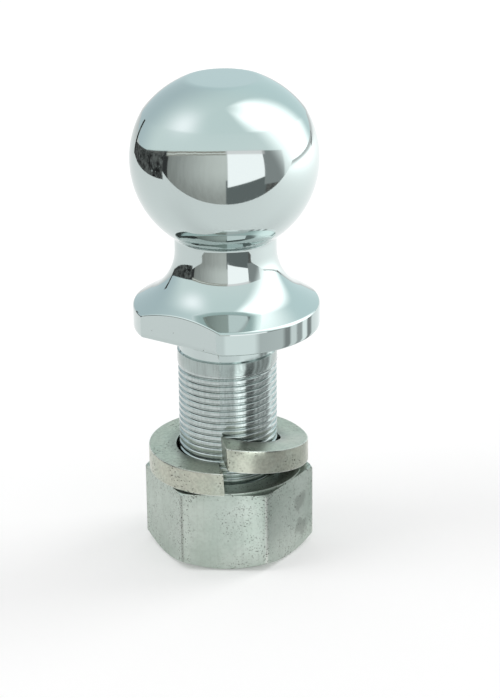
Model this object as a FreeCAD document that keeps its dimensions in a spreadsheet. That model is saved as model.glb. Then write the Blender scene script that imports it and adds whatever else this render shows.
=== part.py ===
import FreeCAD, Part
import math
import os

import Sketcher

# A tow ball for a trailer hitch: a one-piece chromed forging with a threaded shank,
# standing on its hex nut, with a split spring washer between nut and shank.
# Every piece is drawn about its own axis (Z) and placed on the piece that carries it.

# Driving sizes in millimetres and degrees: name, value, what it sets
SIZES = (
    ("ball_diameter", 58.7375, "towing ball"),
    ("ball_height", 54.15, "ball centre above the flange's seat"),
    ("shoulder_angle", 60.0, "from the pole of the ball to where its crown starts"),
    ("shoulder_radius", 6.2, "round that turns the ball into the crown"),
    ("crown_slope", 52.0, "slope at the crown's outer end"),
    ("crown_inner_slope", 24.0, "slope at the crown's inner end"),
    ("crown_edge_radius", 6.2, "round between the crown and its flat"),
    ("neck_diameter", 32.05, "waist between ball and bell"),
    ("neck_fillet", 1.85, "round where the neck meets the ball"),
    ("bell_slope", 30.6, "slope of the bell at the rim"),
    ("flare_width", 4.8, "nearly straight part of the bell between rim and hollow"),
    ("flare_radius", 250.0, "faint hollow of that part"),
    ("flange_diameter", 58.95, "round rim of the flange"),
    ("rim_height", 6.5, "straight wall of the rim above the seat"),
    ("rim_round", 1.3, "upper edge of the rim"),
    ("rim_lower_chamfer", 0.5, "lower edge of the rim"),
    ("flats_depth", 4.075, "what each of the two wrench flats takes off the rim"),
    ("flats_azimuth", 34.0, "turn of the flats, from the front towards the left"),
    ("flats_reach", 13.6, "height to which the flats are milled"),
    ("shank_diameter", 31.75, "plain part of the shank above its thread"),
    ("crest_allowance", 0.17, "crests of the thread, below the plain part"),
    ("shank_length", 69.85, "seat to the end of the shank"),
    ("tip_chamfer", 2.0, "lead at the end of the shank"),
    ("relief_depth", 0.525, "undercut of the shank beneath the seat"),
    ("relief_length", 7.65, "seat to the end of the undercut"),
    ("relief_taper", 0.5, "step from the undercut to the plain part"),
    ("thread_start", 12.5, "seat to the first groove of the thread"),
    ("seat_chamfer", 1.0, "corner between the seat and the undercut"),
    ("nut_wall", 7.625, "nut's flats to the shank"),
    ("nut_height", 26.99, "bottom of the nut to its washer face"),
    ("nut_azimuth", -3.7, "turn of the nut about its axis"),
    ("washer_face_inset", 0.06, "raised round face on the nut, inside the flats"),
    ("washer_face_height", 0.5, "raised face above the hexagon"),
    ("lower_chamfer_inset", 1.1, "lower chamfer's inner circle, inside the flats"),
    ("upper_chamfer_spread", 2.65, "upper chamfer's inner circle, outside the flats"),
    ("nut_chamfer_slope", 30.0, "slope of both chamfers of the nut"),
    ("thread_clearance", 0.07, "radial play of the shank in the nut"),
    ("bore_lead", 1.1, "lead at both mouths of the nut's bore"),
    ("thread_engagement", 20.92, "length of shank inside the nut"),
    ("washer_play", 0.875, "lock washer's hole to the shank, all round"),
    ("wire_width", 8.9, "width of the washer's wire"),
    ("washer_thickness", 7.85, "height of the washer's wire"),
    ("washer_bevel", 0.55, "broken corners of the washer's wire"),
    ("washer_end_gap", 0.8, "slit between the low end and the raised end"),
    ("washer_flat_turn", 240.0, "part of the turn that lies flat, from the front"),
    ("washer_bend_turn", 30.0, "part of the turn that bends upward"),
    ("split_width", 1.5, "kerf between the washer's two ends"),
    ("split_offset", 1.1, "low end's cut to the left of the front, at the outside"),
    ("split_skew", 11.4, "cut turned from the radial line"),
    ("split_tilt", 3.0, "cut leaned from the upright"),
    ("split_spare", 0.25, "wire left past each cut before it is trimmed"),
)

# Sizes that follow from the driving ones: name, formula, what it sets
FOLLOWING = (
    ("relief_diameter", "shank_diameter - 2 * relief_depth", "undercut of the shank"),
    ("thread_diameter", "shank_diameter - 2 * crest_allowance", "crests of the thread"),
    ("flats_width", "flange_diameter - 2 * flats_depth", "across the wrench flats"),
    ("bell_radius",
     "(flange_diameter / 2 - rim_round * (1 - sin(bell_slope)) - flare_width"
     " - neck_diameter / 2) / (1 - sin(bell_slope) - flare_width / flare_radius)",
     "hollow of the bell above the flange"),
    ("nut_width", "shank_diameter + 2 * nut_wall", "across the nut's flats"),
    ("washer_face_diameter", "nut_width - 2 * washer_face_inset", "raised round face"),
    ("lower_chamfer_diameter", "nut_width - 2 * lower_chamfer_inset",
     "circle left on the nut's bottom by its chamfer"),
    ("upper_chamfer_diameter", "nut_width + 2 * upper_chamfer_spread",
     "circle left on the hexagon's top"),
    ("washer_bore", "shank_diameter + 2 * washer_play", "hole of the lock washer"),
    ("washer_diameter", "washer_bore + 2 * wire_width", "outside of the lock washer"),
)

doc = FreeCAD.newDocument("threaded_tow_ball")


def make_sheet():
    """Puts the sizes into a spreadsheet, one named cell for each."""
    sheet = doc.addObject("Spreadsheet::Sheet", "sizes")
    cells = [(name, str(value), note) for name, value, note in SIZES]
    cells += [(name, "=" + formula, note) for name, formula, note in FOLLOWING]
    for row, (name, content, note) in enumerate(cells, start=1):
        sheet.set("A%d" % row, note)
        sheet.setAlias("B%d" % row, name)
        sheet.set("B%d" % row, content)
    doc.recompute()
    return sheet


sheet = make_sheet()
size = {name: float(sheet.get(name)) for name, content, note in SIZES + FOLLOWING}


def sin(degrees):
    return math.sin(math.radians(degrees))


def cos(degrees):
    return math.cos(math.radians(degrees))


def tan(degrees):
    return math.tan(math.radians(degrees))


def number(expression):
    """What an expression on the spreadsheet comes to, in millimetres or degrees."""
    result = sheet.evalExpression(expression)
    return float(getattr(result, "Value", result))


def origin_feature(body, role):
    """The origin plane or axis of a body that has the given role."""
    for feature in body.Origin.OriginFeatures:
        if feature.Role == role:
            return feature
    raise ValueError(role)


class Drawing:
    """A sketch on one of its body's origin planes, drawn as closed runs of edges."""

    def __init__(self, body, name, plane):
        self.sketch = body.newObject("Sketcher::SketchObject", name)
        self.sketch.AttachmentSupport = [(origin_feature(body, plane), "")]
        self.sketch.MapMode = "FlatFace"

    def line(self, start, end):
        """A straight edge; its first and last points are numbered 1 and 2."""
        edge = Part.LineSegment(FreeCAD.Vector(*start, 0), FreeCAD.Vector(*end, 0))
        return self.sketch.addGeometry(edge), 1, 2

    def arc(self, centre, radius, first, last, backward=False):
        """A round edge between two angles, which the run may follow backward."""
        circle = Part.Circle(FreeCAD.Vector(*centre, 0), FreeCAD.Vector(0, 0, 1), radius)
        edge = Part.ArcOfCircle(circle, math.radians(first), math.radians(last))
        index = self.sketch.addGeometry(edge)
        return (index, 2, 1) if backward else (index, 1, 2)

    def join(self, before, after, smooth=False):
        """Ties the end of one edge to the start of the next, smooth where they blend."""
        kind = "Tangent" if smooth else "Coincident"
        self.rule(kind, before[0], before[2], after[0], after[1])

    def rule(self, kind, *refs):
        self.sketch.addConstraint(Sketcher.Constraint(kind, *refs))

    def on_axis(self, edge, point, upright=True):
        """Keeps a point of an edge on the sketch's upright or level axis."""
        self.rule("PointOnObject", edge[0], point, -2 if upright else -1)

    def size(self, name, kind, refs, expression):
        """A named dimension that follows the spreadsheet."""
        value = number(expression)
        if kind == "Angle":
            value = math.radians(value)
        index = self.sketch.addConstraint(Sketcher.Constraint(kind, *refs, value))
        self.sketch.renameConstraint(index, name)
        self.sketch.setExpression("Constraints." + name, expression)


# points closer than this are the same point
TOUCH = 1e-4

# how a constraint names the sketch's own origin
ORIGIN = (-1, 1)


def add_feature(body, kind, name, profile):
    """A feature of a body made from a sketch, which is its new tip."""
    feature = body.newObject("PartDesign::" + kind, name)
    feature.Profile = profile
    return feature


def revolve(body, kind, name, profile):
    """A full turn of a sketch about its upright axis."""
    feature = add_feature(body, kind, name, profile)
    feature.ReferenceAxis = (profile, ["V_Axis"])
    feature.Angle = 360
    return feature


def draw_forging(body):
    """Half section of the forging: shank, seat, flange, bell, neck, ball and crown."""
    s = size
    shank = s["shank_diameter"] / 2
    thread = s["thread_diameter"] / 2
    relief = s["relief_diameter"] / 2
    rim = s["flange_diameter"] / 2
    neck = s["neck_diameter"] / 2
    ball = s["ball_diameter"] / 2
    centre = s["ball_height"]
    length = s["shank_length"]
    chamfer = s["tip_chamfer"]
    corner = s["seat_chamfer"]
    upper = s["rim_round"]
    slope = s["bell_slope"]
    wall_top = s["rim_height"]

    # the rim's round hands over to the flare, and the flare to the hollow of the bell
    flare = s["flare_radius"]
    bell = s["bell_radius"]
    inner_bell_slope = math.degrees(math.asin(sin(slope) + s["flare_width"] / flare))
    flare_centre = (rim - upper + (upper + flare) * sin(slope),
                    wall_top + (upper + flare) * cos(slope))
    bell_centre = (neck + bell,
                   flare_centre[1] + (bell - flare) * cos(inner_bell_slope))

    # the small round between neck and ball touches both
    join = s["neck_fillet"]
    reach = math.sqrt((ball + join) ** 2 - (neck + join) ** 2)
    join_centre = (neck + join, centre - reach)
    join_angle = math.degrees(math.atan2(reach, neck + join))

    # a round, a flatter dome about the axis and a second round flatten the pole of the ball
    angle = s["shoulder_angle"]
    crown_slope = s["crown_slope"]
    inner_slope = s["crown_inner_slope"]
    shoulder = s["shoulder_radius"]
    edge = s["crown_edge_radius"]
    shoulder_centre = ((ball - shoulder) * sin(angle), centre + (ball - shoulder) * cos(angle))
    crown = shoulder + shoulder_centre[0] / sin(crown_slope)
    crown_centre = (0, shoulder_centre[1] + (shoulder - crown) * cos(crown_slope))
    edge_centre = ((crown - edge) * sin(inner_slope),
                   crown_centre[1] + (crown - edge) * cos(inner_slope))
    pole = edge_centre[1] + edge

    d = Drawing(body, "forging_section", "XZ_Plane")
    thread_top = s["crest_allowance"] - s["thread_start"]
    tip = d.line((0, -length), (thread - chamfer, -length))
    lead = d.line((thread - chamfer, -length), (thread, chamfer - length))
    crests = d.line((thread, chamfer - length), (thread, -s["thread_start"]))
    runout = d.line((thread, -s["thread_start"]), (shank, thread_top))
    full = d.line((shank, thread_top), (shank, -s["relief_length"] - s["relief_taper"]))
    step = d.line((shank, -s["relief_length"] - s["relief_taper"]), (relief, -s["relief_length"]))
    plain = d.line((relief, -s["relief_length"]), (relief, -corner))
    root = d.line((relief, -corner), (relief + corner, 0))
    seat = d.line((relief + corner, 0), (rim, 0))
    wall = d.line((rim, 0), (rim, wall_top))
    high_edge = d.arc((rim - upper, wall_top), upper, 0, 90 - slope)
    lip = d.arc(flare_centre, flare, 270 - inner_bell_slope, 270 - slope, backward=True)
    hollow = d.arc(bell_centre, bell, 180, 270 - inner_bell_slope, backward=True)
    waist = d.line((neck, bell_centre[1]), (neck, join_centre[1]))
    throat = d.arc(join_centre, join, 180 - join_angle, 180, backward=True)
    sphere = d.arc((0, centre), ball, -join_angle, 90 - angle)
    turn = d.arc(shoulder_centre, shoulder, 90 - angle, 90 - crown_slope)
    dome = d.arc(crown_centre, crown, 90 - crown_slope, 90 - inner_slope)
    brim = d.arc(edge_centre, edge, 90 - inner_slope, 90)
    flat = d.line((edge_centre[0], pole), (0, pole))
    axis = d.line((0, pole), (0, -length))

    sharp = (flat, axis, tip, lead, crests, runout, full, step, plain, root, seat, wall)
    for before, after in zip(sharp, sharp[1:]):
        d.join(before, after)
    smooth = (wall, high_edge, lip, hollow, waist, throat, sphere, turn, dome, brim, flat)
    for before, after in zip(smooth, smooth[1:]):
        d.join(before, after, smooth=True)
    for edge_line in (tip, flat):
        d.rule("Horizontal", edge_line[0])
    for edge_line in (crests, full, plain, wall, waist):
        d.rule("Vertical", edge_line[0])
    d.on_axis(tip, 1)
    d.on_axis(flat, 2)
    d.on_axis(seat, 1, upright=False)
    d.on_axis(sphere, 3)
    d.on_axis(dome, 3)
    d.rule("Horizontal", seat[0])

    d.size("shank_length", "DistanceY", (tip[0], 1, *ORIGIN), "sizes.shank_length")
    d.size("shank_radius", "DistanceX", (*ORIGIN, full[0], 1), "sizes.shank_diameter / 2")
    d.size("thread_radius", "DistanceX", (*ORIGIN, crests[0], 1), "sizes.thread_diameter / 2")
    d.size("thread_start", "DistanceY", (crests[0], 2, *ORIGIN), "sizes.thread_start")
    d.size("thread_runout", "DistanceY", (runout[0], 1, runout[0], 2),
           "sizes.crest_allowance")
    d.size("tip_width", "DistanceX", (lead[0], 1, lead[0], 2), "sizes.tip_chamfer")
    d.size("tip_height", "DistanceY", (lead[0], 1, lead[0], 2), "sizes.tip_chamfer")
    d.size("relief_radius", "DistanceX", (*ORIGIN, plain[0], 1), "sizes.relief_diameter / 2")
    d.size("relief_length", "DistanceY", (plain[0], 1, *ORIGIN), "sizes.relief_length")
    d.size("relief_taper", "DistanceY", (step[0], 1, step[0], 2), "sizes.relief_taper")
    d.size("seat_corner_width", "DistanceX", (root[0], 1, root[0], 2), "sizes.seat_chamfer")
    d.size("seat_corner_height", "DistanceY", (root[0], 1, root[0], 2), "sizes.seat_chamfer")
    d.size("flange_radius", "DistanceX", (*ORIGIN, wall[0], 1), "sizes.flange_diameter / 2")
    d.size("rim_height", "DistanceY", (*ORIGIN, wall[0], 2), "sizes.rim_height")
    d.size("rim_round", "Radius", (high_edge[0],), "sizes.rim_round")
    d.size("lip_place", "DistanceX", (*ORIGIN, lip[0], 2),
           "sizes.flange_diameter / 2 - sizes.rim_round * (1 - sin(sizes.bell_slope))")
    d.size("flare_radius", "Radius", (lip[0],), "sizes.flare_radius")
    d.size("bell_radius", "Radius", (hollow[0],), "sizes.bell_radius")
    d.size("neck_radius", "DistanceX", (*ORIGIN, waist[0], 1), "sizes.neck_diameter / 2")
    d.size("neck_fillet", "Radius", (throat[0],), "sizes.neck_fillet")
    d.size("ball_height", "DistanceY", (*ORIGIN, sphere[0], 3), "sizes.ball_height")
    d.size("ball_radius", "Radius", (sphere[0],), "sizes.ball_diameter / 2")
    shoulder_x = "sizes.ball_diameter / 2 * sin(sizes.shoulder_angle)"
    crown_x = ("%s - sizes.shoulder_radius * (sin(sizes.shoulder_angle) - sin(sizes.crown_slope))"
               % shoulder_x)
    brim_x = "(%s) * sin(sizes.crown_inner_slope) / sin(sizes.crown_slope)" % crown_x
    d.size("shoulder_place", "DistanceX", (*ORIGIN, sphere[0], 2), shoulder_x)
    d.size("shoulder_radius", "Radius", (turn[0],), "sizes.shoulder_radius")
    d.size("crown_place", "DistanceX", (*ORIGIN, turn[0], 2), crown_x)
    d.size("brim_place", "DistanceX", (*ORIGIN, dome[0], 2), brim_x)
    d.size("crown_edge_radius", "Radius", (brim[0],), "sizes.crown_edge_radius")
    return d.sketch


def rectangle(d, left, right, low, high):
    """Four edges of an upright rectangle, tied at their corners."""
    corners = ((left, low), (right, low), (right, high), (left, high))
    edges = [d.line(corners[i], corners[(i + 1) % 4]) for i in range(4)]
    for i in range(4):
        d.join(edges[i], edges[(i + 1) % 4])
    for i in (0, 2):
        d.rule("Horizontal", edges[i][0])
    for i in (1, 3):
        d.rule("Vertical", edges[i][0])
    return edges


def make_tow_ball():
    """The forging, turned in one piece, with two wrench flats milled on its flange."""
    body = doc.addObject("PartDesign::Body", "tow_ball")
    section = draw_forging(body)
    revolve(body, "Revolution", "forging", section)
    doc.recompute()
    turned = body.Shape.Volume

    # one flat: everything of the flange that lies further out than half the width across
    d = Drawing(body, "wrench_flat_section", "XY_Plane")
    near = size["flats_width"] / 2
    rim = size["flange_diameter"]
    edges = rectangle(d, near, rim, -rim, rim)
    d.size("flat_place", "DistanceX", (*ORIGIN, edges[3][0], 1), "sizes.flats_width / 2")
    d.size("flat_reach", "DistanceX", (*ORIGIN, edges[1][0], 1), "sizes.flange_diameter")
    d.size("flat_start", "DistanceY", (edges[0][0], 1, *ORIGIN), "sizes.flange_diameter")
    d.size("flat_end", "DistanceY", (*ORIGIN, edges[2][0], 1), "sizes.flange_diameter")
    d.sketch.setExpression("AttachmentOffset.Rotation.Angle",
                           "270 deg - sizes.flats_azimuth * 1 deg")
    cut = add_feature(body, "Pocket", "wrench_flat", d.sketch)
    cut.Reversed = True
    cut.setExpression("Length", "sizes.flats_reach")
    doc.recompute()
    pair = body.newObject("PartDesign::PolarPattern", "wrench_flats")
    pair.Originals = [cut]
    pair.Axis = (origin_feature(body, "Z_Axis"), [""])
    pair.Angle = 360
    pair.Occurrences = 2
    body.Tip = pair
    doc.recompute()
    if body.Shape.Volume > turned - 1:
        raise RuntimeError("the wrench flats cut nothing")

    # the lower edge is broken all round, along rim and flats
    outline = []
    for place, edge in enumerate(body.Shape.Edges, start=1):
        reach = math.hypot(edge.Vertexes[0].X, edge.Vertexes[0].Y)
        if abs(edge.BoundBox.ZMax - edge.BoundBox.ZMin) < TOUCH and abs(edge.Vertexes[0].Z) < TOUCH:
            if reach > near - TOUCH:
                outline.append("Edge%d" % place)
    broken = body.newObject("PartDesign::Chamfer", "lower_edge")
    broken.Base = (pair, outline)
    broken.setExpression("Size", "sizes.rim_lower_chamfer")

    # the shank stands in the nut by the thread's engagement
    body.setExpression("Placement.Base.z",
                       "sizes.nut_height - sizes.thread_engagement + sizes.shank_length")
    return body


def draw_hexagon(body):
    """A regular hexagon with its corners on a construction circle."""
    d = Drawing(body, "hexagon", "XY_Plane")
    across_corners = size["nut_width"] / cos(30)
    circle = Part.Circle(FreeCAD.Vector(0, 0, 0), FreeCAD.Vector(0, 0, 1), across_corners / 2)
    guide = d.sketch.addGeometry(circle, True)
    d.rule("Coincident", guide, 3, *ORIGIN)
    d.size("corner_radius", "Radius", (guide,), "sizes.nut_width / 2 / cos(30)")
    corners = [(across_corners / 2 * cos(60 * i), across_corners / 2 * sin(60 * i))
               for i in range(6)]
    edges = [d.line(corners[i], corners[(i + 1) % 6]) for i in range(6)]
    for i in range(6):
        d.join(edges[i], edges[(i + 1) % 6])
        d.rule("PointOnObject", edges[i][0], 1, guide)
    for i in range(1, 6):
        d.rule("Equal", edges[0][0], edges[i][0])
    d.rule("Horizontal", edges[1][0])
    return d.sketch


def draw_nut_trims(body):
    """What the lathe takes off the hexagon: the lower chamfer, and the upper one with
    the step down from the raised washer face."""
    s = size
    outside = s["nut_width"]
    slope = s["nut_chamfer_slope"]
    low = s["lower_chamfer_diameter"] / 2
    face = s["washer_face_diameter"] / 2
    high = s["upper_chamfer_diameter"] / 2
    top = s["nut_height"]
    hex_top = top - s["washer_face_height"]
    d = Drawing(body, "lathe_trims", "XZ_Plane")

    rise = (outside - low) * tan(slope)
    lower = [d.line((low, 0), (outside, 0)),
             d.line((outside, 0), (outside, rise)),
             d.line((outside, rise), (low, 0))]
    for i in range(3):
        d.join(lower[i], lower[(i + 1) % 3])
    d.on_axis(lower[0], 1, upright=False)
    d.rule("Horizontal", lower[0][0])
    d.rule("Vertical", lower[1][0])
    d.size("lower_start", "DistanceX", (*ORIGIN, lower[0][0], 1),
           "sizes.lower_chamfer_diameter / 2")
    d.size("lower_reach", "DistanceX", (*ORIGIN, lower[1][0], 1), "sizes.nut_width")
    d.size("lower_rise", "DistanceY", (lower[1][0], 1, lower[1][0], 2),
           "(sizes.nut_width - sizes.lower_chamfer_diameter / 2) * tan(sizes.nut_chamfer_slope)")

    drop = (outside - high) * tan(slope)
    corners = ((face, top), (face, hex_top), (high, hex_top), (outside, hex_top - drop),
               (outside, top))
    upper = [d.line(corners[i], corners[(i + 1) % 5]) for i in range(5)]
    for i in range(5):
        d.join(upper[i], upper[(i + 1) % 5])
    d.rule("Vertical", upper[0][0])
    d.rule("Horizontal", upper[1][0])
    d.rule("Vertical", upper[3][0])
    d.rule("Horizontal", upper[4][0])
    d.size("face_radius", "DistanceX", (*ORIGIN, upper[0][0], 1), "sizes.washer_face_diameter / 2")
    d.size("face_level", "DistanceY", (*ORIGIN, upper[0][0], 1), "sizes.nut_height")
    d.size("face_height", "DistanceY", (upper[0][0], 2, upper[0][0], 1),
           "sizes.washer_face_height")
    d.size("upper_start", "DistanceX", (*ORIGIN, upper[1][0], 2),
           "sizes.upper_chamfer_diameter / 2")
    d.size("upper_reach", "DistanceX", (*ORIGIN, upper[3][0], 1), "sizes.nut_width")
    d.size("upper_drop", "DistanceY", (upper[2][0], 2, upper[2][0], 1),
           "(sizes.nut_width - sizes.upper_chamfer_diameter / 2) * tan(sizes.nut_chamfer_slope)")
    return d.sketch


def make_hex_nut():
    """The hex nut: a hexagonal bar, chamfered on a lathe, bored for the shank."""
    body = doc.addObject("PartDesign::Body", "hex_nut")
    block = add_feature(body, "Pad", "hexagonal_bar", draw_hexagon(body))
    block.setExpression("Length", "sizes.nut_height")
    doc.recompute()
    whole = body.Shape.Volume
    revolve(body, "Groove", "chamfers", draw_nut_trims(body))
    doc.recompute()
    trimmed = body.Shape.Volume

    d = Drawing(body, "bore_circle", "XY_Plane")
    radius = size["thread_diameter"] / 2 + size["thread_clearance"]
    circle = Part.Circle(FreeCAD.Vector(0, 0, 0), FreeCAD.Vector(0, 0, 1), radius)
    index = d.sketch.addGeometry(circle)
    d.rule("Coincident", index, 3, *ORIGIN)
    d.size("bore_radius", "Radius", (index,), "sizes.thread_diameter / 2 + sizes.thread_clearance")
    bore = add_feature(body, "Pocket", "bore", d.sketch)
    bore.Type = "ThroughAll"
    bore.Reversed = True
    doc.recompute()
    bored = body.Shape.Volume
    if not whole > trimmed > bored:
        raise RuntimeError("a cut of the nut removed nothing")

    mouths = []
    for place, edge in enumerate(body.Shape.Edges, start=1):
        if isinstance(edge.Curve, Part.Circle) and abs(edge.Curve.Radius - radius) < TOUCH:
            mouths.append("Edge%d" % place)
    lead = body.newObject("PartDesign::Chamfer", "bore_leads")
    lead.Base = (bore, mouths)
    lead.setExpression("Size", "sizes.bore_lead")
    body.setExpression("Placement.Rotation.Angle", "sizes.nut_azimuth * 1 deg")
    return body


# The washer's wire runs clockwise from the front as seen from above. It starts and ends
# a little past the cuts of the split, which trim it. Its sprung part, which is a third
# of the turn, is drawn through sections about 20 degrees apart.
SPRUNG_SPAN_COUNT = 8
LOW_END = "asin(2 * (sizes.split_offset - sizes.split_spare) / sizes.washer_diameter)"
SPRUNG_START = "(sizes.washer_flat_turn - sizes.washer_bend_turn / 2) * 1 deg"
RAISED_CUT = ("(sizes.split_offset - sizes.split_width / cos(sizes.split_skew)"
              " + (sizes.washer_diameter - sizes.washer_bore) / 2 * tan(sizes.split_skew))")
RAISED_END = ("(360 deg + asin(2 * (%s + sizes.split_spare) / sizes.washer_bore))" % RAISED_CUT)


def wire_level(turn):
    """Height of the wire above its flat part at a turn: level, a bend, then a steady climb."""
    past = "(%s - sizes.washer_flat_turn * 1 deg) / 1 deg" % turn
    climb = ("(sizes.washer_thickness + sizes.washer_end_gap)"
             " / (360 - sizes.washer_flat_turn - sizes.washer_bend_turn / 2)")
    bend = "%s * (%s) ^ 2 / (2 * sizes.washer_bend_turn)" % (climb, past)
    steady = "%s * (%s - sizes.washer_bend_turn / 2)" % (climb, past)
    return "%s < 0 ? 0 : (%s < sizes.washer_bend_turn ? %s : %s)" % (past, past, bend, steady)


def draw_wire_section(body, name, turn):
    """Upright section of the washer's wire, with bevelled corners, at one of its turns."""
    inner = size["washer_bore"] / 2
    outer = size["washer_diameter"] / 2
    height = size["washer_thickness"]
    bevel = size["washer_bevel"]
    d = Drawing(body, name, "XZ_Plane")
    upright = FreeCAD.Rotation(FreeCAD.Vector(0, 1, 0), -90)
    d.sketch.AttachmentOffset = FreeCAD.Placement(FreeCAD.Vector(0, 0, 0), upright)
    d.sketch.setExpression("AttachmentOffset.Rotation.Angle", "-90 deg - %s" % turn)
    d.sketch.setExpression("AttachmentOffset.Base.y", wire_level(turn))
    corners = ((inner + bevel, 0), (outer - bevel, 0), (outer, bevel), (outer, height - bevel),
               (outer - bevel, height), (inner + bevel, height), (inner, height - bevel),
               (inner, bevel))
    count = len(corners)
    edges = [d.line(corners[i], corners[(i + 1) % count]) for i in range(count)]
    for i in range(count):
        d.join(edges[i], edges[(i + 1) % count])
    for i in (0, 4):
        d.rule("Horizontal", edges[i][0])
    for i in (2, 6):
        d.rule("Vertical", edges[i][0])
    d.on_axis(edges[0], 1, upright=False)
    d.size("inside", "DistanceX", (*ORIGIN, edges[6][0], 1), "sizes.washer_bore / 2")
    d.size("outside", "DistanceX", (*ORIGIN, edges[2][0], 1), "sizes.washer_diameter / 2")
    d.size("height", "DistanceY", (*ORIGIN, edges[4][0], 1), "sizes.washer_thickness")
    # each bevelled corner, with its leftmost, rightmost, lowest and highest point
    for i, left, right, low, high in ((1, 1, 2, 1, 2), (3, 2, 1, 1, 2), (5, 2, 1, 2, 1),
                                      (7, 1, 2, 2, 1)):
        edge = edges[i][0]
        d.size("bevel_across_%d" % i, "DistanceX", (edge, left, edge, right), "sizes.washer_bevel")
        d.size("bevel_up_%d" % i, "DistanceY", (edge, low, edge, high), "sizes.washer_bevel")
    return d.sketch


def draw_split(body):
    """The stepped kerf between the two ends, drawn on the upright plane of the axis.

    Right of the low end's cut up to the step, left of the raised end's cut above it."""
    outer = size["washer_diameter"] / 2
    lean = tan(size["split_tilt"])
    skew = tan(size["split_skew"])
    low_cut = -size["split_offset"] - outer * skew
    raised_cut = low_cut + size["split_width"] / cos(size["split_skew"])
    step = size["washer_thickness"] + size["washer_end_gap"] / 2
    floor = -size["washer_end_gap"]
    ceiling = 3 * size["washer_thickness"]
    inner_shift = (outer - size["washer_bore"] / 2) * skew
    right = low_cut + inner_shift + size["washer_end_gap"]
    left = low_cut - size["washer_diameter"] / 8
    corners = ((low_cut - floor * lean, floor),
               (right, floor),
               (right, step),
               (raised_cut - step * lean, step),
               (raised_cut - ceiling * lean, ceiling),
               (left, ceiling),
               (left, step),
               (low_cut - step * lean, step))
    d = Drawing(body, "split_section", "XZ_Plane")
    count = len(corners)
    edges = [d.line(corners[i], corners[(i + 1) % count]) for i in range(count)]
    for i in range(count):
        d.join(edges[i], edges[(i + 1) % count])
    for i in (0, 2, 4, 6):
        d.rule("Horizontal", edges[i][0])
    for i in (1, 5):
        d.rule("Vertical", edges[i][0])

    low_x = "(sizes.split_offset + sizes.washer_diameter / 2 * tan(sizes.split_skew))"
    raised_x = "(%s - sizes.split_width / cos(sizes.split_skew))" % low_x
    lean_x = "tan(sizes.split_tilt)"
    step_z = "(sizes.washer_thickness + sizes.washer_end_gap / 2)"
    ceiling_z = "3 * sizes.washer_thickness"
    inner_shift = "(sizes.washer_diameter - sizes.washer_bore) / 2 * tan(sizes.split_skew)"
    d.size("kerf_floor", "DistanceY", (edges[0][0], 1, *ORIGIN), "sizes.washer_end_gap")
    d.size("kerf_step", "DistanceY", (*ORIGIN, edges[2][0], 1), step_z)
    d.size("kerf_step_left", "DistanceY", (*ORIGIN, edges[6][0], 1), step_z)
    d.size("kerf_ceiling", "DistanceY", (*ORIGIN, edges[4][0], 1), ceiling_z)
    d.size("low_cut_foot", "DistanceX", (edges[0][0], 1, *ORIGIN),
           "%s - sizes.washer_end_gap * %s" % (low_x, lean_x))
    d.size("low_cut_head", "DistanceX", (edges[7][0], 1, *ORIGIN),
           "%s + %s * %s" % (low_x, step_z, lean_x))
    d.size("raised_cut_foot", "DistanceX", (edges[3][0], 1, *ORIGIN),
           "%s + %s * %s" % (raised_x, step_z, lean_x))
    d.size("raised_cut_head", "DistanceX", (edges[3][0], 2, *ORIGIN),
           "%s + %s * %s" % (raised_x, ceiling_z, lean_x))
    d.size("kerf_right", "DistanceX", (edges[1][0], 1, *ORIGIN),
           "%s - %s - sizes.washer_end_gap" % (low_x, inner_shift))
    d.size("kerf_left", "DistanceX", (edges[5][0], 1, *ORIGIN),
           "%s + sizes.washer_diameter / 8" % low_x)
    return d.sketch


def make_lock_washer():
    """The split spring washer: one turn of squared wire that lies flat on the nut and
    springs up towards its second end, cut through on the skew."""
    body = doc.addObject("PartDesign::Body", "lock_washer")
    section = draw_wire_section(body, "low_end_section", LOW_END)
    flat = revolve(body, "Revolution", "flat_part", section)
    flat.Reversed = True
    flat.setExpression("Angle", "%s - %s" % (SPRUNG_START, LOW_END))
    doc.recompute()
    lying = body.Shape.Volume

    sections = []
    for i in range(SPRUNG_SPAN_COUNT + 1):
        turn = ("(%s + (%s - %s) * %d / %d)"
                % (SPRUNG_START, RAISED_END, SPRUNG_START, i, SPRUNG_SPAN_COUNT))
        sections.append(draw_wire_section(body, "sprung_section_%d" % i, turn))
    sprung = add_feature(body, "AdditiveLoft", "sprung_part", sections[0])
    sprung.Sections = sections[1:]
    doc.recompute()
    whole = body.Shape.Volume

    split = add_feature(body, "Pocket", "split", draw_split(body))
    split.UseCustomVector = True
    split.Direction = FreeCAD.Vector(sin(size["split_skew"]), -cos(size["split_skew"]), 0)
    split.setExpression("Length", "sizes.washer_diameter")
    doc.recompute()
    if not lying < whole - 1 or not body.Shape.Volume < whole - 1:
        raise RuntimeError("the washer's sprung part or its split is missing")
    body.setExpression("Placement.Base.z", "sizes.nut_height")
    return body


def check(pieces):
    """Stops before anything is written if a feature or a piece is unsound."""
    for obj in doc.Objects:
        if "Invalid" in obj.State or "Error" in obj.State:
            raise RuntimeError("%s did not build: %s" % (obj.Name, obj.State))
    for piece in pieces:
        shape = piece.Shape
        if shape.isNull() or not shape.isValid() or len(shape.Solids) != 1:
            raise RuntimeError("%s is not one sound solid" % piece.Label)


def write(pieces):
    """One file for each piece, in the place where it stands."""
    os.makedirs("parts", exist_ok=True)
    for piece in pieces:
        piece.Shape.exportStep("parts/%s.step" % piece.Label)


pieces = [make_hex_nut(), make_lock_washer(), make_tow_ball()]
doc.recompute()
check(pieces)
write(pieces)
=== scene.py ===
import math

import bmesh
import bpy
import numpy as np
from mathutils import Matrix, Vector


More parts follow.
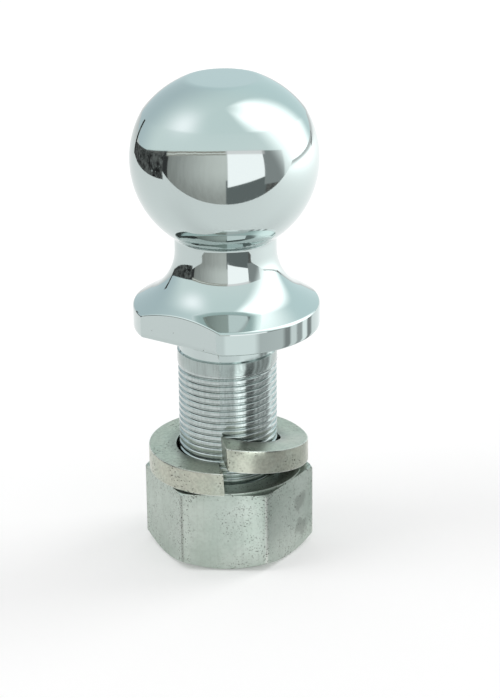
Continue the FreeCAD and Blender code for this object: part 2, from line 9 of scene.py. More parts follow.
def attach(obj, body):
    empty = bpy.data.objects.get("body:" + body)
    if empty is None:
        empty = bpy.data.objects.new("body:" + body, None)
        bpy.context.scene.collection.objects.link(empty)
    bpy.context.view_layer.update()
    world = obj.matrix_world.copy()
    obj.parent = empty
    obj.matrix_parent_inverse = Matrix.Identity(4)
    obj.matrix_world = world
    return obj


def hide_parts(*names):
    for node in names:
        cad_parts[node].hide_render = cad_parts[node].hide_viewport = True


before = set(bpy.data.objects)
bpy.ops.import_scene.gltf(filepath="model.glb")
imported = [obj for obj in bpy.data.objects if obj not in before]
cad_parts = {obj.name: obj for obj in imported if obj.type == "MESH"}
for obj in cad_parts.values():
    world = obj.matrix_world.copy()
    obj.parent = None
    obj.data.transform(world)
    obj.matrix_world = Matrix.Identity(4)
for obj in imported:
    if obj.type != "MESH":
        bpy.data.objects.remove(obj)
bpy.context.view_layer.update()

# The tow ball: one steel forging with ball, neck, bell, flange and shank, turned, milled
# with two wrench flats, thread-rolled on the shank and plated with bright chrome.
# It stands upright, its shank screwed part of the way into the nut.

MM = 0.001
SEAT_LEVEL = 75.92

BALL_RADIUS = 58.7375 / 2
BALL_HEIGHT = 54.15
SHOULDER_ANGLE = 60.0
SHOULDER_RADIUS = 6.2
CROWN_SLOPE = 52.0
CROWN_INNER_SLOPE = 24.0
CROWN_EDGE_RADIUS = 6.2
NECK_RADIUS = 32.05 / 2
NECK_FILLET = 1.85
BELL_SLOPE = 30.6
FLARE_WIDTH = 4.8
FLARE_RADIUS = 250.0
RIM_RADIUS = 58.95 / 2
RIM_HEIGHT = 6.5
RIM_ROUND = 1.3
RIM_CHAMFER = 0.5
FLAT_DISTANCE = 50.8 / 2
FLAT_AZIMUTH = 34.0
FLAT_EDGE_ROUND = 0.35
FLAT_CORNER_ROUND = 0.04

SHANK_RADIUS = 31.75 / 2
UNDERCUT_RADIUS = 15.35
UNDERCUT_LENGTH = 7.65
UNDERCUT_TAPER = 0.5
SEAT_CORNER = 1.0
CREST_RADIUS = 15.705
THREAD_TOP = -12.5
SHANK_END = -69.85
TIP_CHAMFER = 2.0
PITCH = 25.4 / 12
THREAD_DEPTH = 0.28 * PITCH
THREAD_TURN = 0.35
THREAD_FADE = 1.5
THREAD_COLUMNS = 72


def arc_points(centre, radius, first, last, count):
    """Points on a round of the half section, from one angle to another."""
    angles = np.radians(np.linspace(first, last, count))
    return np.column_stack((centre[0] + radius * np.cos(angles),
                            centre[1] + radius * np.sin(angles)))


def half_section():
    """The outside of the forging above the rim's wall: bell, and neck with ball and crown."""
    sine = math.sin(math.radians(BELL_SLOPE))
    bell_radius = ((RIM_RADIUS - RIM_ROUND * (1 - sine) - FLARE_WIDTH - NECK_RADIUS)
                   / (1 - sine - FLARE_WIDTH / FLARE_RADIUS))
    inner_slope = math.degrees(math.asin(sine + FLARE_WIDTH / FLARE_RADIUS))
    flare_centre = (RIM_RADIUS - RIM_ROUND + (RIM_ROUND + FLARE_RADIUS) * sine,
                    RIM_HEIGHT + (RIM_ROUND + FLARE_RADIUS) * math.cos(math.radians(BELL_SLOPE)))
    bell_centre = (NECK_RADIUS + bell_radius,
                   flare_centre[1]
                   + (bell_radius - FLARE_RADIUS) * math.cos(math.radians(inner_slope)))
    reach = math.sqrt((BALL_RADIUS + NECK_FILLET) ** 2 - (NECK_RADIUS + NECK_FILLET) ** 2)
    throat_centre = (NECK_RADIUS + NECK_FILLET, BALL_HEIGHT - reach)
    throat_angle = math.degrees(math.atan2(reach, NECK_RADIUS + NECK_FILLET))
    shoulder_angle = math.radians(SHOULDER_ANGLE)
    shoulder_centre = ((BALL_RADIUS - SHOULDER_RADIUS) * math.sin(shoulder_angle),
                       BALL_HEIGHT + (BALL_RADIUS - SHOULDER_RADIUS) * math.cos(shoulder_angle))
    crown_radius = SHOULDER_RADIUS + shoulder_centre[0] / math.sin(math.radians(CROWN_SLOPE))
    crown_level = (shoulder_centre[1]
                   + (SHOULDER_RADIUS - crown_radius) * math.cos(math.radians(CROWN_SLOPE)))
    inner = math.radians(CROWN_INNER_SLOPE)
    brim_centre = ((crown_radius - CROWN_EDGE_RADIUS) * math.sin(inner),
                   crown_level + (crown_radius - CROWN_EDGE_RADIUS) * math.cos(inner))
    bell = np.vstack((
        arc_points((RIM_RADIUS - RIM_ROUND, RIM_HEIGHT), RIM_ROUND, 0, 90 - BELL_SLOPE, 120),
        arc_points(flare_centre, FLARE_RADIUS, 270 - BELL_SLOPE, 270 - inner_slope, 120)[1:],
        arc_points(bell_centre, bell_radius, 270 - inner_slope, 180, 1500)[1:]))
    above = np.vstack((
        np.column_stack((np.full(4, NECK_RADIUS),
                         np.linspace(bell_centre[1], throat_centre[1], 4)))[1:],
        arc_points(throat_centre, NECK_FILLET, 180, 180 - throat_angle, 10)[1:],
        arc_points((0, BALL_HEIGHT), BALL_RADIUS, -throat_angle, 90 - SHOULDER_ANGLE, 86)[1:],
        arc_points(shoulder_centre, SHOULDER_RADIUS, 90 - SHOULDER_ANGLE, 90 - CROWN_SLOPE, 5)[1:],
        arc_points((0, crown_level), crown_radius, 90 - CROWN_SLOPE, 90 - CROWN_INNER_SLOPE,
                   20)[1:],
        arc_points(brim_centre, CROWN_EDGE_RADIUS, 90 - CROWN_INNER_SLOPE, 90, 9)[1:]))
    return bell, above


def softer_of(first, second, blend):
    """The smaller of two lengths, with the corner between them rounded off."""
    near = np.maximum(blend - np.abs(first - second), 0) / blend
    return np.minimum(first, second) - near ** 2 * blend / 4


def add_rings(rings):
    """Points and four-sided faces of a net of rings that have equally many points."""
    count = len(rings[0])
    faces = []
    for i in range(len(rings) - 1):
        low = i * count
        for j in range(count):
            k = (j + 1) % count
            faces.append((low + j, low + k, low + count + k, low + count + j))
    return np.vstack(rings), faces


WELD_DISTANCE = 2e-6
EMPTY_EDGE = 1e-6


def make_piece(name, nets, crease, lift=0.0):
    """An object from nets given in millimetres, welded, smooth but for its hard edges."""
    points, faces = [], []
    for net_points, net_faces in nets:
        start = len(points)
        points.extend((np.asarray(net_points) * MM).tolist())
        faces.extend(tuple(start + i for i in face) for face in net_faces)
    mesh = bpy.data.meshes.new(name)
    mesh.from_pydata(points, [], faces)
    work = bmesh.new()
    work.from_mesh(mesh)
    bmesh.ops.remove_doubles(work, verts=work.verts, dist=WELD_DISTANCE)
    bmesh.ops.dissolve_degenerate(work, edges=work.edges, dist=EMPTY_EDGE)
    bmesh.ops.recalc_face_normals(work, faces=work.faces)
    bmesh.ops.translate(work, verts=work.verts, vec=(0, 0, lift * MM))
    work.to_mesh(mesh)
    work.free()
    mesh.shade_smooth()
    mesh.set_sharp_from_angle(angle=math.radians(crease))
    piece = bpy.data.objects.new(name, mesh)
    bpy.context.scene.collection.objects.link(piece)
    return piece


def forging_head_net():
    """Seat, rim with its two wrench flats, bell, neck, ball and crown, column by column."""
    flat_normal = math.atan2(-math.cos(math.radians(FLAT_AZIMUTH)),
                             -math.sin(math.radians(FLAT_AZIMUTH)))
    half_flat = math.acos(FLAT_DISTANCE / RIM_RADIUS)
    near = np.radians((-0.7, -0.35, -0.15, 0.0, 0.15, 0.35, 0.7, 1.2, 1.9, 2.8))
    turns = list(np.linspace(0, 2 * math.pi, 216, endpoint=False))
    for side in (0, math.pi):
        turns.extend(flat_normal + side + half_flat - near)
        turns.extend(flat_normal + side - half_flat + near)
    turns = np.sort(np.mod(turns, 2 * math.pi))
    keep = np.diff(np.append(turns, turns[0] + 2 * math.pi)) > math.radians(0.05)
    turns = turns[keep]

    facing = np.maximum(np.abs(np.cos(turns - flat_normal)), 0.2)
    edge = softer_of(np.full(len(turns), RIM_RADIUS), FLAT_DISTANCE / facing, FLAT_CORNER_ROUND)

    bell, above = half_section()
    steps = np.hypot(*np.diff(bell, axis=0).T)
    travel = np.concatenate(((0,), np.cumsum(steps)))
    crossing = np.interp(-edge, -bell[:, 0], travel)

    def on_bell(distance):
        return (np.interp(distance, travel, bell[:, 0]), np.interp(distance, travel, bell[:, 1]))

    rows = []
    seat_start = UNDERCUT_RADIUS + SEAT_CORNER
    for share in np.linspace(0, 1, 6):
        rows.append((seat_start + (edge - RIM_CHAMFER - seat_start) * share, 0 * edge))
    rows.append((edge - 0.4 * RIM_CHAMFER, 0.35 * RIM_CHAMFER + 0 * edge))
    rows.append((edge, RIM_CHAMFER + 0 * edge))
    _, top = on_bell(crossing)
    round_end = np.minimum(crossing + FLAT_EDGE_ROUND, travel[-1])
    after_radius, after = on_bell(round_end)
    wall_top = top - FLAT_EDGE_ROUND
    for share in np.linspace(0, 1, 8)[1:]:
        rows.append((edge, RIM_CHAMFER + (wall_top - RIM_CHAMFER) * share))
    for t in (0.2, 0.4, 0.6, 0.8):
        u = 1 - t
        rows.append((u * u * edge + 2 * t * u * edge + t * t * after_radius,
                     u * u * wall_top + 2 * t * u * top + t * t * after))
    for t in np.linspace(0, 1, 73):
        share = 0.25 * t + 0.75 * t ** 2.5
        rows.append(on_bell(round_end + (travel[-1] - round_end) * share))
    for radius, level in above:
        rows.append((radius + 0 * edge, level + 0 * edge))
    for share in (0.75, 0.5, 0.28, 0.1):
        rows.append((above[-1, 0] * share + 0 * edge, above[-1, 1] + 0 * edge))

    rings = [np.column_stack((radius * np.cos(turns), radius * np.sin(turns), level))
             for radius, level in rows]
    points, faces = add_rings(rings)
    count = len(turns)
    middle = len(points)
    points = np.vstack((points, (0, 0, above[-1, 1])))
    last = len(rings) * count - count
    faces.extend((last + j, last + (j + 1) % count, middle) for j in range(count))

    neck_rows = ((seat_start, 0), (seat_start - 0.6 * SEAT_CORNER, -0.3 * SEAT_CORNER),
                 (UNDERCUT_RADIUS + 0.1 * SEAT_CORNER, -0.8 * SEAT_CORNER),
                 (UNDERCUT_RADIUS, -1.3 * SEAT_CORNER),
                 (UNDERCUT_RADIUS, -UNDERCUT_LENGTH / 2),
                 (UNDERCUT_RADIUS, -UNDERCUT_LENGTH),
                 (UNDERCUT_RADIUS + 0.12, -UNDERCUT_LENGTH - 0.16),
                 (SHANK_RADIUS - 0.08, -UNDERCUT_LENGTH - UNDERCUT_TAPER + 0.06),
                 (SHANK_RADIUS, -UNDERCUT_LENGTH - UNDERCUT_TAPER - 0.06),
                 (SHANK_RADIUS, (THREAD_TOP - UNDERCUT_LENGTH) / 2),
                 (SHANK_RADIUS, THREAD_TOP + 0.25),
                 (SHANK_RADIUS - 0.07, THREAD_TOP + 0.1),
                 (CREST_RADIUS - 0.35, THREAD_TOP - 0.02))
    neck = [np.column_stack((radius * np.cos(turns), radius * np.sin(turns),
                             np.full(count, level))) for radius, level in neck_rows]
    return (points, faces), add_rings(neck)


# across one pitch: how far along, and how deep as a share of the thread's depth
THREAD_FORM = ((0.0, 0.0), (0.10, 0.0), (0.20, 0.0), (0.235, 0.03), (0.30, 0.25), (0.38, 0.72),
               (0.44, 0.95), (0.50, 1.0), (0.56, 0.95), (0.62, 0.72), (0.70, 0.25), (0.765, 0.03),
               (0.80, 0.0), (0.90, 0.0))


def thread_net(low, high, surface, columns):
    """A helical net, right-handed, from one level to another; surface gives its radius."""
    first = math.floor(low / PITCH) - 2
    last = math.ceil(high / PITCH) + 1
    turns = last - first
    levels = np.array([(first + k + along) * PITCH
                       for k in range(turns) for along, _ in THREAD_FORM])
    depths = np.array([depth for _, depth in THREAD_FORM] * turns)
    points = []
    for c in range(columns + 1):
        level = levels + (c / columns + THREAD_TURN) * PITCH
        held = np.clip(level, low, high)
        radius = surface(held, depths)
        angle = 2 * math.pi * c / columns
        points.append(np.column_stack((radius * math.cos(angle), radius * math.sin(angle), held)))
    count = len(levels)
    faces = []
    for c in range(columns):
        heights = np.maximum(points[c][:, 2], points[c + 1][:, 2])
        floors = np.minimum(points[c][:, 2], points[c + 1][:, 2])
        for i in range(count - 1):
            if heights[i + 1] <= low or floors[i] >= high:
                continue
            faces.append((c * count + i, (c + 1) * count + i, (c + 1) * count + i + 1,
                          c * count + i + 1))
    return np.vstack(points), faces


def shank_surface(level, depth):
    """Radius of the shank's thread, which runs out under the band and into the tip."""
    fade = np.clip((THREAD_TOP - level) / THREAD_FADE, 0, 1)
    radius = CREST_RADIUS - THREAD_DEPTH * depth * fade ** 0.7
    return np.minimum(radius, CREST_RADIUS - TIP_CHAMFER + level - SHANK_END)


def disc_net(radius, level, count):
    """A flat round end, of rings about its middle."""
    angles = np.linspace(0, 2 * math.pi, count, endpoint=False)
    rings = [np.column_stack((radius * share * np.cos(angles), radius * share * np.sin(angles),
                              np.full(count, level))) for share in (1.0, 0.7, 0.35, 0.02)]
    return add_rings(rings)


class Socket:
    """One output of a shader node, which takes part in sums like a number."""

    def __init__(self, tree, output=None):
        self.tree = tree
        self.output = output

    def node(self, kind, settings=None, inputs=None, output=0):
        """Adds a node: its settings first, then the values or links of its sockets."""
        made = self.tree.nodes.new("ShaderNode" + kind)
        for key, value in (settings or {}).items():
            if key == "stops":
                ramp = made.color_ramp
                while len(ramp.elements) < len(value):
                    ramp.elements.new(0.5)
                for element, (place, colour) in zip(ramp.elements, value):
                    element.position = place
                    element.color = (*colour, 1.0)
            else:
                setattr(made, key, value)
        for key, value in (inputs or {}).items():
            plug = made.inputs[key]
            if isinstance(value, Socket):
                self.tree.links.new(value.output, plug)
            else:
                plug.default_value = value
        return Socket(self.tree, made.outputs[output])

    def sum(self, operation, *values):
        """A step of arithmetic, on numbers or sockets."""
        return self.node("Math", {"operation": operation}, dict(enumerate(values)))

    def __add__(self, other):
        return self.sum("ADD", self, other)

    __radd__ = __add__

    def __sub__(self, other):
        return self.sum("SUBTRACT", self, other)

    def __rsub__(self, other):
        return self.sum("SUBTRACT", other, self)

    def __mul__(self, other):
        return self.sum("MULTIPLY", self, other)

    __rmul__ = __mul__

    def __truediv__(self, other):
        return self.sum("DIVIDE", self, other)

    def __rtruediv__(self, other):
        return self.sum("DIVIDE", other, self)

    def __pow__(self, other):
        return self.sum("POWER", self, other)

    def __neg__(self):
        return self.sum("MULTIPLY", self, -1.0)

    def above(self, edge, soft):
        """1 where this value lies above an edge, 0 below it, smooth over a width."""
        return self.node("MapRange", {"interpolation_type": "SMOOTHSTEP"},
                         {"Value": self, "From Min": edge - soft / 2, "From Max": edge + soft / 2})

    def between(self, low, high, soft):
        """1 from one edge to another, smooth over the same width at both."""
        return self.above(low, soft) * (1 - self.above(high, soft))

    def mix(self, first, second):
        """Goes from the first colour to the second as this value goes from 0 to 1."""
        colours = [c if isinstance(c, Socket) else (*c, 1.0) for c in (first, second)]
        return self.node("Mix", {"data_type": "RGBA"},
                         {"Factor": self, 6: colours[0], 7: colours[1]}, 2)

    def scaled(self, x, y, z):
        """This place, stretched along its three directions."""
        return self.node("VectorMath", {"operation": "MULTIPLY"}, {0: self, 1: (x, y, z)})

    def noise(self, scale, detail=2.0, roughness=0.5):
        return self.node("TexNoise", {}, {"Vector": self, "Scale": scale, "Detail": detail,
                                          "Roughness": roughness})

    def parts(self):
        """The three numbers of a place."""
        node = self.tree.nodes.new("ShaderNodeSeparateXYZ")
        self.tree.links.new(self.output, node.inputs[0])
        return [Socket(self.tree, out) for out in node.outputs]


def new_finish(name):
    """An empty material: its shader's start, and the place of a point on its own piece."""
    material = bpy.data.materials.new(name)
    material.use_nodes = True
    tree = material.node_tree
    tree.nodes.clear()
    start = Socket(tree)
    return material, start, start.node("TexCoord", output="Object")


def end_shader(start, shader, kind="Material"):
    """Leads a finished shader to the output of its material or world."""
    out = start.tree.nodes.new("ShaderNodeOutput" + kind)
    start.tree.links.new(shader.output, out.inputs["Surface"])


def coat_metal(start, colour, roughness, height, depth):
    """Ends a metal finish: colour, roughness and a relief of the given depth in metres."""
    relief = start.node("Bump", {}, {"Height": height, "Strength": 1.0, "Distance": depth})
    shader = start.node("BsdfPrincipled", {}, {"Base Color": colour, "Metallic": 1.0,
                                               "Roughness": roughness, "Normal": relief})
    end_shader(start, shader)


CHROME = (0.530, 0.605, 0.595)
DULL_BAND = (0.400, 0.465, 0.450)
BARE_THREAD = (0.510, 0.570, 0.560)
SOIL_AND_ROOT_SHADE = (0.200, 0.215, 0.210)
CHROME_PIT = (0.120, 0.130, 0.130)
CHROME_RELIEF = 0.00004

chrome, start, place = new_finish("bright_chrome")
x, y, z = place.parts()
reach = (x * x + y * y) ** 0.5
on_band = 1 - z.above((SEAT_LEVEL - UNDERCUT_LENGTH - UNDERCUT_TAPER / 2) * MM, 0.3 * MM)
on_thread = 1 - z.above((SEAT_LEVEL + THREAD_TOP + 0.2) * MM, 0.6 * MM)
root_soil_and_shade = on_thread * (1 - reach.above((CREST_RADIUS - 0.8 * THREAD_DEPTH) * MM, 0.6 * MM))
cloud = place.noise(38.0, 3.0)
fine = place.noise(900.0, 2.0)
drawn = place.scaled(1.0, 1.0, 0.12).noise(1500.0, 2.0)
pits = (place.noise(900.0, 1.0).above(0.80, 0.02)
        * (1 - z.above((SEAT_LEVEL + RIM_HEIGHT) * MM, 0.5 * MM)))
wipe = place.scaled(1.0, 0.15, 0.7).noise(420.0, 3.0, 0.6)
colour = on_band.mix(CHROME, DULL_BAND)
colour = on_thread.mix(colour, BARE_THREAD)
colour = (on_band * drawn.above(0.52, 0.2) * 0.22).mix(colour, SOIL_AND_ROOT_SHADE)
# painted shade, with some soil: the thread's roots are a little darker
colour = (root_soil_and_shade * 0.1).mix(colour, SOIL_AND_ROOT_SHADE)
colour = (pits * 0.75 * (1 - on_band)).mix(colour, CHROME_PIT)
roughness = (0.035 + cloud.above(0.55, 0.5) * 0.03 + wipe.above(0.62, 0.2) * 0.02
             + on_band * (0.07 + drawn * 0.06) + pits * 0.25)
height = fine * 0.012 + on_band * drawn * 0.10 - pits * 0.8 + wipe * 0.02
coat_metal(start, colour, roughness, height, CHROME_RELIEF)

head_net, neck_net = forging_head_net()
tow_ball = make_piece("chromed_forging", (
    head_net,
    neck_net,
    thread_net(SHANK_END, THREAD_TOP, shank_surface, THREAD_COLUMNS),
    disc_net(CREST_RADIUS - TIP_CHAMFER, SHANK_END, THREAD_COLUMNS),
), 32, SEAT_LEVEL)
tow_ball.data.materials.append(chrome)
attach(tow_ball, "ball")
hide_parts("tow_ball")

# The split lock washer: one turn of squared spring-steel wire, coiled, cut through on the
# skew, hardened, and plated with zinc that has gone dull. It lies flat on the nut for two
# thirds of its turn and springs up towards its second end.

NUT_HEIGHT = 26.99
WASHER_BORE = SHANK_RADIUS + 0.875
WIRE_WIDTH = 8.9
WASHER_OUTSIDE = WASHER_BORE + WIRE_WIDTH
WASHER_THICKNESS = 7.85
WASHER_BEVEL = 0.55
END_GAP = 0.71
FLAT_TURN = 240.0
BEND_TURN = 30.0
KERF_WIDTH = 1.5
KERF_OFFSET = 1.1
KERF_SKEW = math.radians(11.4)
KERF_TILT = math.radians(3.0)
END_NICK = 0.25
END_ROUND = 0.22
HALF_WIRE = 4.4


def wire_level(turn):
    """Height of the wire above its flat part, at turns in degrees."""
    past = np.asarray(turn) - FLAT_TURN
    climb = (WASHER_THICKNESS + END_GAP) / (360 - FLAT_TURN - BEND_TURN / 2)
    bend = climb * past ** 2 / (2 * BEND_TURN)
    steady = climb * (past - BEND_TURN / 2)
    return np.where(past < 0, 0, np.where(past < BEND_TURN, bend, steady))


def cut_turn(radius, height, guess, shift):
    """The turn at which a line along the wire meets a cut of the kerf."""
    turn = guess
    low_cut = -KERF_OFFSET - WASHER_OUTSIDE * math.tan(KERF_SKEW) + shift
    for _ in range(40):
        around = math.radians(turn)
        level = float(wire_level(turn)) + height
        gap = (-radius * math.sin(around) - low_cut
               - radius * math.cos(around) * math.tan(KERF_SKEW)
               + level * math.tan(KERF_TILT))
        turn += math.degrees(gap / radius)
    return turn


def wire_section():
    """The wire's outline: flat sides, with rounded bevels at its four corners."""
    low, high = 0.0, WASHER_THICKNESS
    inner, outer = WASHER_BORE, WASHER_OUTSIDE
    b = WASHER_BEVEL
    corners = (((inner, low), (1, 0), (0, 1)), ((outer, low), (0, 1), (-1, 0)),
               ((outer, high), (-1, 0), (0, -1)), ((inner, high), (0, -1), (1, 0)))
    outline = []
    for (r, h), onward, back in corners:
        for t in (0.0, 0.12, 0.5, 0.88, 1.0):
            u = 1 - t
            outline.append((r + back[0] * b * u * u + onward[0] * b * t * t,
                            h + back[1] * b * u * u + onward[1] * b * t * t))
        reach = (WIRE_WIDTH if onward[0] else WASHER_THICKNESS) - 2 * b
        for share in (0.1, 0.5, 0.9):
            outline.append((r + onward[0] * (b + reach * share),
                            h + onward[1] * (b + reach * share)))
    return outline


def washer_net():
    """The wire's outline carried along its turn, from one cut of the kerf to the other."""
    section = wire_section()
    centre_r = (WASHER_BORE + WASHER_OUTSIDE) / 2
    centre_h = WASHER_THICKNESS / 2
    kerf_shift = KERF_WIDTH / math.cos(KERF_SKEW)

    def line(radius, height):
        start_turn = cut_turn(radius, height, 4.0, 0.0)
        end_turn = cut_turn(radius, height, 362.0, kerf_shift)
        t = np.linspace(0, 1, 181)
        return start_turn + (end_turn - start_turn) * t

    def place_on(radius, height, turn):
        around = np.radians(turn)
        return np.column_stack((-radius * np.sin(around), -radius * np.cos(around),
                                wire_level(turn) + height))

    lines = [place_on(radius, height, line(radius, height)) for radius, height in section]
    body = np.stack(lines, axis=1)

    def shrunk(share, row, back):
        """The outline at an end, drawn in to a share of its size and set back in turn."""
        rows = []
        for radius, height in section:
            r = centre_r + (radius - centre_r) * share
            h = centre_h + (height - centre_h) * share
            turn = line(r, h)[row] + back
            rows.append(place_on(r, h, np.array([turn]))[0])
        return np.array(rows)

    # each end is broken by a small round and closed by shrinking rings
    step = math.degrees(END_ROUND / centre_r)
    body[0] = shrunk(1.0, 0, step)
    body[-1] = shrunk(1.0, -1, -step)
    closing = ((0.02, 0.0), (0.5, 0.0), (0.85, 0.0), (1 - END_NICK / HALF_WIRE, 0.0), (0.98, 0.3))
    head = [shrunk(share, 0, back * step) for share, back in closing]
    tail = [shrunk(share, -1, -back * step) for share, back in reversed(closing)]
    return add_rings(head + list(body) + tail)


DULL_ZINC = (0.490, 0.525, 0.440)
WARM_ZINC = (0.545, 0.560, 0.475)
PALE_ZINC = (0.560, 0.600, 0.520)
EDGE_WEAR_AND_HIGHLIGHT = (0.760, 0.790, 0.740)
PIT_DARK = (0.090, 0.085, 0.070)
BORE_SHADE = (0.200, 0.200, 0.185)
ZINC_RELIEF = 0.00006

washer_zinc, start, place = new_finish("dull_zinc")
x, y, _ = place.parts()
reach = (x * x + y * y) ** 0.5
cloud = place.noise(110.0, 4.0, 0.6)
stain = place.noise(190.0, 4.0, 0.65).above(0.56, 0.14)
grain = place.noise(1900.0, 3.0, 0.6)
speck = place.noise(1500.0, 2.0).above(0.64, 0.04) * place.noise(95.0, 1.0).above(0.50, 0.12)
brushed = place.scaled(1.0, 1.0, 9.0).noise(300.0, 3.0, 0.55)
facing_up = start.node("NewGeometry", output="Normal").parts()[2]
edge = facing_up.sum("ABSOLUTE", facing_up).between(0.3, 0.93, 0.1)
shade_near_bore = 1 - reach.above((WASHER_BORE + 2.2) * MM, 4.5 * MM)
colour = cloud.above(0.5, 0.3).mix(DULL_ZINC, WARM_ZINC)
colour = (stain * 0.65).mix(colour, PALE_ZINC)
colour = (place.noise(1100.0, 3.0, 0.6).above(0.52, 0.3) * 0.22).mix(colour, PIT_DARK)
# painted shade: the washer's top darkens towards the bore, beside the shank
colour = (shade_near_bore * 0.5).mix(colour, BORE_SHADE)
# the bevelled edges are paler: wear, with a painted highlight line along them
colour = (edge * 0.85).mix(colour, EDGE_WEAR_AND_HIGHLIGHT)
colour = (speck * 0.9).mix(colour, PIT_DARK)
roughness = 0.24 + cloud * 0.10 + stain * 0.10 + speck * 0.3 - edge * 0.05
height = grain * 0.18 + brushed * 0.22 + cloud * 0.5 - speck * 1.2
coat_metal(start, colour, roughness, height, ZINC_RELIEF)

lock_washer = make_piece("split_lock_washer", (washer_net(),), 36, NUT_HEIGHT)
lock_washer.data.materials.append(washer_zinc)
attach(lock_washer, "washer")
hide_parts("lock_washer")

# The hex nut: cold-formed from hexagonal bar, chamfered on both ends with a raised washer
# face on top, tapped, and zinc plated. Its faces carry fine pits and two rubbed stains.

NUT_HALF_WIDTH = 47.0 / 2
NUT_TURN = math.radians(30 - 3.7)
HEX_TOP = NUT_HEIGHT - 0.5
FACE_RADIUS = NUT_HALF_WIDTH - 0.06
LOWER_CIRCLE = NUT_HALF_WIDTH - 1.1
UPPER_CIRCLE = NUT_HALF_WIDTH + 2.65
CHAMFER_RISE = math.tan(math.radians(30))
BORE_LEAD = 1.1
THREAD_PLAY = 0.07
NUT_CORNER_ROUND = 0.3
NUT_EDGE_ROUND = 0.22


def nut_surface(level, depth):
    """Radius of the nut's thread, which widens at both mouths."""
    radius = CREST_RADIUS + THREAD_PLAY - (THREAD_DEPTH - 0.06) * depth
    mouth = BORE_LEAD - np.minimum(level, NUT_HEIGHT - level)
    return np.maximum(radius, CREST_RADIUS + THREAD_PLAY + mouth)


def nut_net():
    """The outside of the nut, from one mouth of its bore over chamfers and flats to the other."""
    per_side = np.concatenate((np.linspace(-29.4, 29.4, 34), (29.65, 29.85, 30.0, 30.15, 30.35)))
    turns = np.radians(np.concatenate([per_side + 60 * i for i in range(6)]))
    wrapped = np.radians(np.mod(np.degrees(turns) + 30, 60) - 30)
    side = NUT_HALF_WIDTH / np.cos(wrapped)
    corner = NUT_HALF_WIDTH / math.cos(math.radians(30))
    edge = softer_of(side, np.full(len(turns), corner), NUT_CORNER_ROUND)
    low = np.maximum(edge - LOWER_CIRCLE, 0) * CHAMFER_RISE
    high = HEX_TOP - np.maximum(edge - UPPER_CIRCLE, 0) * CHAMFER_RISE
    zero = 0 * edge
    bore = CREST_RADIUS + THREAD_PLAY
    rows = [(bore + BORE_LEAD + zero, zero)]
    for share in (0.35, 0.7, 0.985):
        rows.append((bore + BORE_LEAD + (LOWER_CIRCLE - bore - BORE_LEAD) * share, zero))
    for share in (0.06, 0.35, 0.65, 0.94):
        rows.append((LOWER_CIRCLE + (edge - LOWER_CIRCLE) * share, low * share))
    a = NUT_EDGE_ROUND
    rows.append((edge - 0.06 * a, low + 0.35 * a))
    for share in np.linspace(0, 1, 13):
        rows.append((edge, low + a + (high - low - 2 * a) * share))
    rows.append((edge - 0.18 * a, high - 0.35 * a))
    rows.append((edge - 0.8 * a, high - 0.05 * a + np.maximum(edge - UPPER_CIRCLE, 0) * 0.1))
    rows.append((np.maximum(np.minimum(edge - 1.2 * a, UPPER_CIRCLE), FACE_RADIUS + 0.02)
                 + zero, HEX_TOP + zero))
    rows.append((FACE_RADIUS + 0.01 + zero, HEX_TOP + zero))
    rows.append((FACE_RADIUS + zero, HEX_TOP + 0.04 + zero))
    rows.append((FACE_RADIUS + zero, NUT_HEIGHT - 0.16 + zero))
    rows.append((FACE_RADIUS - 0.05 + zero, NUT_HEIGHT - 0.05 + zero))
    rows.append((FACE_RADIUS - 0.16 + zero, NUT_HEIGHT + zero))
    for share in (0.3, 0.6, 0.985):
        rows.append((FACE_RADIUS + (bore + BORE_LEAD - FACE_RADIUS) * share, NUT_HEIGHT + zero))
    rows.append((bore + BORE_LEAD + zero, NUT_HEIGHT + zero))
    rings = [np.column_stack((radius * np.cos(turns), radius * np.sin(turns), level + zero))
             for radius, level in rows]
    return add_rings(rings)


NUT_ZINC = (0.440, 0.510, 0.455)
NUT_ZINC_PALE = (0.560, 0.620, 0.570)
SMUDGE_AND_SHADE = (0.230, 0.250, 0.225)
SMUDGE_PLACES = ((0.0226, -0.0086, 0.0170), (0.0235, -0.0072, 0.0075))

nut_zinc, start, place = new_finish("satin_zinc")
x, y, z = place.parts()
reach = (x * x + y * y) ** 0.5
cloud = place.noise(75.0, 5.0, 0.65)
grain = place.noise(1500.0, 3.0, 0.6)
mottling = place.noise(900.0, 3.0, 0.6)
edge = reach.above(26.85 * MM, 0.2 * MM)
by_edge = ((1 - z.above(1.2 * MM, 4.5 * MM)) + z.above((HEX_TOP - 1.5) * MM, 4 * MM)
           + reach.above(26.1 * MM, 1.8 * MM))
speck = (place.noise(1900.0, 2.0).above(0.63, 0.05)
         * (place.noise(90.0, 2.0).above(0.52, 0.12) * 0.6 + by_edge * 0.7))
drawn = place.scaled(1.0, 1.0, 0.05).noise(950.0, 2.0, 0.5).above(0.62, 0.08)
rubbed = place.noise(260.0, 3.0, 0.6)
smudge = 0.0
for there in SMUDGE_PLACES:
    away = place.node("VectorMath", {"operation": "DISTANCE"}, {0: place, 1: there}, 1)
    smudge = smudge + (1 - (away + rubbed * 0.008).above(0.0070, 0.0016))
colour = cloud.above(0.5, 0.5).mix(NUT_ZINC, NUT_ZINC_PALE)
colour = (mottling.above(0.55, 0.3) * 0.16).mix(colour, SMUDGE_AND_SHADE)
colour = (drawn * 0.08).mix(colour, SMUDGE_AND_SHADE)
colour = (smudge * 0.5).mix(colour, SMUDGE_AND_SHADE)
# painted shade and highlight: the hex corners are darker on the left and paler on the right
colour = (edge * 0.5).mix(colour, x.above(0.0, 4 * MM).mix(SMUDGE_AND_SHADE, EDGE_WEAR_AND_HIGHLIGHT))
colour = (speck * 0.9).mix(colour, PIT_DARK)
roughness = 0.36 + cloud * 0.12 + speck * 0.3 - edge * 0.08
height = grain * 0.25 + cloud * 0.4 - speck * 1.3 - drawn * 0.15
coat_metal(start, colour, roughness, height, ZINC_RELIEF)

